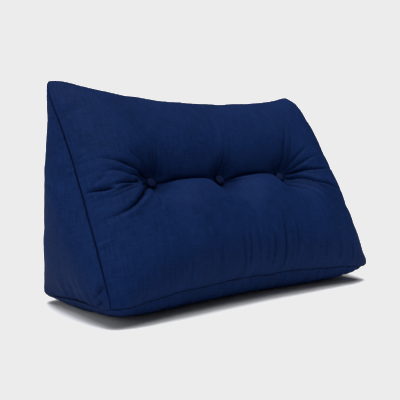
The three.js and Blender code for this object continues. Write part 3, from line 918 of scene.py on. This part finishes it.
def cushion_mesh():
    """The closed cover: five panels joined on their seams, their flat layout as UVs in metres."""
    places, dark, cells = cover_shape()
    faces, corners = [], []
    for panel, cell in zip(PANELS, cells):
        own = np.arange(cell.size).reshape(cell.shape)
        names = cell.ravel().tolist()
        layout = np.stack([panel.flat[0].ravel(), -panel.flat[1].ravel()], axis=-1) * MM
        shape = open_faces(own) if panel.open_inside else grid_quads(own)
        for face in joined_faces(panel, shape, names):
            faces.append([names[k] for k in face])
            corners.extend(layout[k] for k in face)
    mesh = bpy.data.meshes.new("cushion_cover")
    mesh.from_pydata((places * MM).tolist(), [], faces)
    mesh.uv_layers.new(name="cloth").data.foreach_set("uv", np.concatenate(corners))
    # The tuck attribute holds painted shade: darkening in creases, pressed lines, pleats, seam grooves and
    # round the buttons
    mesh.attributes.new("tuck", "FLOAT", "POINT").data.foreach_set("value", dark)
    spare = bmesh.new()
    spare.from_mesh(mesh)
    loose = [vert for vert in spare.verts if not vert.link_faces]
    bmesh.ops.delete(spare, geom=loose, context="VERTS")
    spare.to_mesh(mesh)
    spare.free()
    mesh.shade_smooth()
    return mesh


def add_node(tree, kind, place, **inputs):
    """Adds a node; each input is a value, or a socket to link from."""
    made = tree.nodes.new(kind)
    made.location = place
    for name, value in inputs.items():
        link_or_set(tree, made.inputs[name.replace("_", " ")], value)
    return made


def link_or_set(tree, socket, value):
    if isinstance(value, bpy.types.NodeSocket):
        tree.links.new(value, socket)
    else:
        socket.default_value = value


def arithmetic(tree, operation, place, first, second):
    made = add_node(tree, "ShaderNodeMath", place)
    made.operation = operation
    link_or_set(tree, made.inputs[0], first)
    link_or_set(tree, made.inputs[1], second)
    return made.outputs[0]


def mix_colours(tree, place, factor, first, second, blend="MIX"):
    made = add_node(tree, "ShaderNodeMix", place)
    made.data_type = "RGBA"
    made.blend_type = blend
    link_or_set(tree, made.inputs[0], factor)
    link_or_set(tree, made.inputs[6], first)
    link_or_set(tree, made.inputs[7], second)
    return made.outputs[2]


def slub_cloth_group():
    """Slubby cotton: thick and thin yarns both ways, soft crinkles and cloudy dye."""
    tree = bpy.data.node_groups.new("slub_cloth", "ShaderNodeTree")
    tree.interface.new_socket("Place", in_out="INPUT", socket_type="NodeSocketVector")
    for name in ("Deep", "Plain", "Pale"):
        tree.interface.new_socket(name, in_out="INPUT", socket_type="NodeSocketColor")
    tree.interface.new_socket("Color", in_out="OUTPUT", socket_type="NodeSocketColor")
    tree.interface.new_socket("Height", in_out="OUTPUT", socket_type="NodeSocketFloat")
    given = add_node(tree, "NodeGroupInput", (-1400, 0))
    result = add_node(tree, "NodeGroupOutput", (900, 0))

    def noise(height, repeats, detail):
        across, down = repeats
        scaled = add_node(tree, "ShaderNodeMapping", (-1200, height), Vector=given.outputs["Place"])
        scaled.inputs["Scale"].default_value = (across, down, across)
        made = add_node(
            tree, "ShaderNodeTexNoise", (-1000, height), Vector=scaled.outputs["Vector"], Scale=1.0,
            Detail=detail, Roughness=0.55,
        )
        return made.outputs["Fac"]

    weft = noise(600, WEFT_REPEATS, 2)
    warp = noise(350, WARP_REPEATS, 2)
    crinkle = noise(100, CRINKLE_REPEATS, 3)
    cloud = noise(-150, CLOUD_REPEATS, 2)
    grain = noise(-400, GRAIN_REPEATS, 1)
    slubs = arithmetic(tree, "ADD", (-750, 500), weft, warp)
    drift = arithmetic(tree, "ADD", (-750, 300), crinkle, cloud)
    drift = arithmetic(tree, "MULTIPLY", (-550, 300), drift, 0.5)
    tone = arithmetic(tree, "ADD", (-550, 450), slubs, drift)
    tone = arithmetic(tree, "ADD", (-350, 400), tone, grain)
    tone = arithmetic(tree, "MULTIPLY", (-150, 400), tone, 0.25)
    lower = add_node(tree, "ShaderNodeMapRange", (50, 500), Value=tone, From_Min=0.41, From_Max=0.5)
    upper = add_node(tree, "ShaderNodeMapRange", (50, 200), Value=tone, From_Min=0.5, From_Max=0.59)
    dark, middle, light = (given.outputs[name] for name in ("Deep", "Plain", "Pale"))
    low = mix_colours(tree, (300, 400), lower.outputs["Result"], dark, middle)
    colour = mix_colours(tree, (550, 300), upper.outputs["Result"], low, light)
    tree.links.new(colour, result.inputs["Color"])
    relief = arithmetic(tree, "MULTIPLY", (-550, -200), crinkle, CRINKLE_RELIEF)
    relief = arithmetic(tree, "ADD", (-350, -200), relief, slubs)
    fine = arithmetic(tree, "MULTIPLY", (-550, -400), grain, 0.5)
    tree.links.new(arithmetic(tree, "ADD", (-150, -200), relief, fine), result.inputs["Height"])
    return tree


SLUB_CLOTH = slub_cloth_group()


def cloth_material(name, deep, plain, pale, follows_cover):
    """Slubby cotton in three shades; the cover's follows its cut panels and has shade painted in its
    creases, pleats and seams and round its buttons.
    """
    material = bpy.data.materials.new(name)
    material.use_nodes = True
    tree = material.node_tree
    tree.nodes.clear()
    cloth = tree.nodes.new("ShaderNodeGroup")
    cloth.node_tree = SLUB_CLOTH
    cloth.location = (-450, 0)
    for socket, colour in (("Deep", deep), ("Plain", plain), ("Pale", pale)):
        cloth.inputs[socket].default_value = (*colour, 1)
    colour = cloth.outputs["Color"]
    if follows_cover:
        layout = add_node(tree, "ShaderNodeUVMap", (-700, 0))
        layout.uv_map = "cloth"
        tree.links.new(layout.outputs["UV"], cloth.inputs["Place"])
        # Painted shade, read from the tuck attribute, darkens the cloth in creases, pleats and seams and
        # round the buttons
        tuck = add_node(tree, "ShaderNodeAttribute", (-450, 300))
        tuck.attribute_name = "tuck"
        colour = mix_colours(tree, (-150, 200), tuck.outputs["Fac"], colour, PAINTED_SHADE_TINT, "MULTIPLY")
    else:
        place = add_node(tree, "ShaderNodeTexCoord", (-700, 0))
        tree.links.new(place.outputs["Object"], cloth.inputs["Place"])
    bump = add_node(tree, "ShaderNodeBump", (-150, -200), Height=cloth.outputs["Height"])
    bump.inputs["Strength"].default_value = WEAVE_STRENGTH
    bump.inputs["Distance"].default_value = WEAVE_DEPTH
    shader = add_node(
        tree, "ShaderNodeBsdfPrincipled", (150, 0), Base_Color=colour, Normal=bump.outputs["Normal"],
        Roughness=CLOTH_ROUGHNESS, Specular_IOR_Level=CLOTH_SHINE,
    )
    add_node(tree, "ShaderNodeOutputMaterial", (450, 0), Surface=shader.outputs["BSDF"])
    return material


COVER = cloth_material(
    "navy_slub_cotton", (0.0026, 0.0122, 0.059), (0.0041, 0.0180, 0.083), (0.0066, 0.0250, 0.110), True,
)
BUTTON_CLOTH = cloth_material(
    "navy_button_cotton", (0.0050, 0.0125, 0.054), (0.0075, 0.0175, 0.070), (0.0110, 0.0240, 0.090), False,
)


def cushion():
    """The padded cover, in place of the plain cushion body."""
    mesh = cushion_mesh()
    mesh.materials.append(COVER)
    piece = bpy.data.objects.new("cushion_cover", mesh)
    bpy.context.scene.collection.objects.link(piece)
    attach(piece, "root")
    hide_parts("cushion_body")


def front_point(x, down):
    """A place on the smooth front, before its creases, in the cushion's frame."""
    x, down = vec(x), vec(down)
    shift = fold_arch(x) * bell(down - FOLD_DOWN, FOLD_ARCH_SPREAD)
    flat = patch("slope", TOP_SEAM, BASE_FRONT_SEAM, x, (down - shift) / SLOPE_LENGTH)
    return (flat + FRONT_NORMAL * front_height(x, down)[..., None])[0] - vec(0, CENTRE_Y, 0)


def seat_on_pit(bx):
    """Where a button sits on the floor of its pit, as a turned frame in metres."""
    step = 8.0
    aside = unit(front_point(bx + step, FOLD_DOWN) - front_point(bx - step, FOLD_DOWN))
    upward = unit(front_point(bx, FOLD_DOWN - step) - front_point(bx, FOLD_DOWN + step))
    axis = unit(np.cross(aside, upward))
    upward = np.cross(axis, aside)
    seat = (front_point(bx, FOLD_DOWN) + axis * BUTTON_GAP) * MM
    return Matrix.Translation(seat) @ Matrix((aside, upward, axis)).transposed().to_4x4()


def select_parts(mesh, parts, wanted):
    """Selects, in edit mode, the faces or vertices of a mesh that are wanted."""
    bpy.ops.mesh.select_all(action="DESELECT")
    made = bmesh.from_edit_mesh(mesh)
    for part in getattr(made, parts):
        if wanted(part):
            part.select_set(True)
    made.select_flush_mode()
    bmesh.update_edit_mesh(mesh)


def covered_button(bx, name):
    """Cloth drawn over a domed mould: a pleated rim, a rolled edge and a shallow dome."""
    bpy.ops.object.select_all(action="DESELECT")
    rim_height = BUTTON_RIM_SHARE * BUTTON_HEIGHT * MM
    bpy.ops.mesh.primitive_cylinder_add(
        vertices=BUTTON_SIDES, radius=BUTTON_RADIUS * MM, depth=rim_height, location=(0, 0, rim_height / 2),
    )
    piece = bpy.context.object
    bpy.ops.object.transform_apply(location=True)
    bpy.ops.object.mode_set(mode="EDIT")
    top = rim_height
    for inset, lift in BUTTON_DOME:
        select_parts(piece.data, "faces", lambda face: face.calc_center_median().z > top - 0.01 * MM)
        bpy.ops.mesh.inset(thickness=inset * BUTTON_RADIUS * MM)
        bpy.ops.transform.translate(value=(0, 0, lift * BUTTON_HEIGHT * MM))
        top += lift * BUTTON_HEIGHT * MM

    def in_pleat(vert):
        turn = round(math.atan2(vert.co.y, vert.co.x) / (2 * math.pi) * BUTTON_SIDES)
        return turn % 2 == 1 and vert.co.z < rim_height + 0.3 * BUTTON_HEIGHT * MM

    select_parts(piece.data, "verts", in_pleat)
    drawn_in = (BUTTON_PLEAT_SHARE, BUTTON_PLEAT_SHARE, 1)
    bpy.ops.transform.resize(value=drawn_in, center_override=(0, 0, 0))
    bpy.ops.object.mode_set(mode="OBJECT")
    smooth = piece.modifiers.new("smooth", "SUBSURF")
    smooth.levels = smooth.render_levels = 2
    bpy.ops.object.modifier_apply(modifier=smooth.name)
    bpy.ops.object.shade_smooth()
    piece.data.transform(seat_on_pit(bx))
    piece.name = piece.data.name = f"covered_button_{name}"
    piece.data.materials.clear()
    piece.data.materials.append(BUTTON_CLOTH)
    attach(piece, "root")
    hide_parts(f"button_{name}")


# Camera, solved on the pillow's seams: its place in the sewn outline's frame, degrees, and pixels
CAMERA_PLACE = (-915.55, -1102.36, 324.78)
CAMERA_HEADING = 37.9
CAMERA_PITCH = 4.21
FOCAL_PIXELS = 602.44
FRAME_PIXELS = 400
FILM_WIDTH = 36


def camera():
    """Looks at the pillow as the photograph does, from its front left and a little above."""
    place = vec(*CAMERA_PLACE) - vec(0, CENTRE_Y, 0)
    heading, pitch = math.radians(CAMERA_HEADING), math.radians(CAMERA_PITCH)
    look = Vector((
        math.sin(heading) * math.cos(pitch), math.cos(heading) * math.cos(pitch), -math.sin(pitch),
    ))
    data = bpy.data.cameras.new("camera")
    data.sensor_width = FILM_WIDTH
    data.lens = FILM_WIDTH * FOCAL_PIXELS / FRAME_PIXELS
    data.clip_start = 0.05
    made = bpy.data.objects.new("camera", data)
    made.matrix_world = Matrix.Translation(place * MM) @ look.to_track_quat("-Z", "Y").to_matrix().to_4x4()
    bpy.context.scene.collection.objects.link(made)
    bpy.context.scene.camera = made


# Lights: the way each one shines, its strength, and how wide it is in degrees
LIGHTS = {
    "top": ((0.1, 0.08, -1.0), 3.4, 50),
    "left": ((1.0, 0.1, -0.45), 0.95, 60),
}
SKY_STRENGTH = 0.05
BACKDROP_STRENGTH = 1.2
FLOOR_SHADE = 0.9
FLOOR_SIZE = 120

# How the picture keeps its brightest tones: a light tone, and the tone that it is shown as
BRIGHT_TONES = ((0.4, 0.35), (0.65, 0.838))


def show_bright_tones(view):
    """Evens out the floor and the backdrop, which the photograph shows as one pale grey."""
    view.view_transform = "Standard"
    view.use_curve_mapping = True
    curve = view.curve_mapping.curves[3]
    curve.points[1].location = BRIGHT_TONES[1]
    curve.points.new(*BRIGHT_TONES[0])
    for point in curve.points:
        point.handle_type = "VECTOR"
    view.curve_mapping.extend = "HORIZONTAL"
    view.curve_mapping.update()


def studio():
    """A pale floor that meets an even backdrop, and broad lights from above and from the left."""
    bpy.ops.mesh.primitive_grid_add(x_subdivisions=2, y_subdivisions=2, size=FLOOR_SIZE)
    floor = bpy.context.object
    floor.name = "floor"
    paint = bpy.data.materials.new("pale_floor")
    paint.use_nodes = True
    shader = paint.node_tree.nodes["Principled BSDF"]
    shader.inputs["Base Color"].default_value = (FLOOR_SHADE, FLOOR_SHADE, FLOOR_SHADE, 1)
    shader.inputs["Roughness"].default_value = 1.0
    shader.inputs["Specular IOR Level"].default_value = 0.0
    floor.data.materials.append(paint)
    for name, (toward, strength, width) in LIGHTS.items():
        data = bpy.data.lights.new(name, "SUN")
        data.energy = strength
        data.angle = math.radians(width)
        made = bpy.data.objects.new(name, data)
        made.rotation_euler = Vector(toward).to_track_quat("-Z", "Y").to_euler()
        bpy.context.scene.collection.objects.link(made)
    world = bpy.data.worlds.new("studio")
    bpy.context.scene.world = world
    world.use_nodes = True
    tree = world.node_tree
    tree.nodes.clear()
    seen = add_node(tree, "ShaderNodeBackground", (0, 100), Color=(1, 1, 1, 1), Strength=BACKDROP_STRENGTH)
    light = add_node(tree, "ShaderNodeBackground", (0, -100), Color=(1, 1, 1, 1), Strength=SKY_STRENGTH)
    path = add_node(tree, "ShaderNodeLightPath", (-200, 300))
    mix = add_node(tree, "ShaderNodeMixShader", (250, 0), Fac=path.outputs["Is Camera Ray"])
    tree.links.new(light.outputs[0], mix.inputs[1])
    tree.links.new(seen.outputs[0], mix.inputs[2])
    add_node(tree, "ShaderNodeOutputWorld", (450, 0), Surface=mix.outputs[0])
    show_bright_tones(bpy.context.scene.view_settings)


camera()
cushion()
for button_name, button_x in BUTTONS.items():
    covered_button(button_x, button_name)
studio()
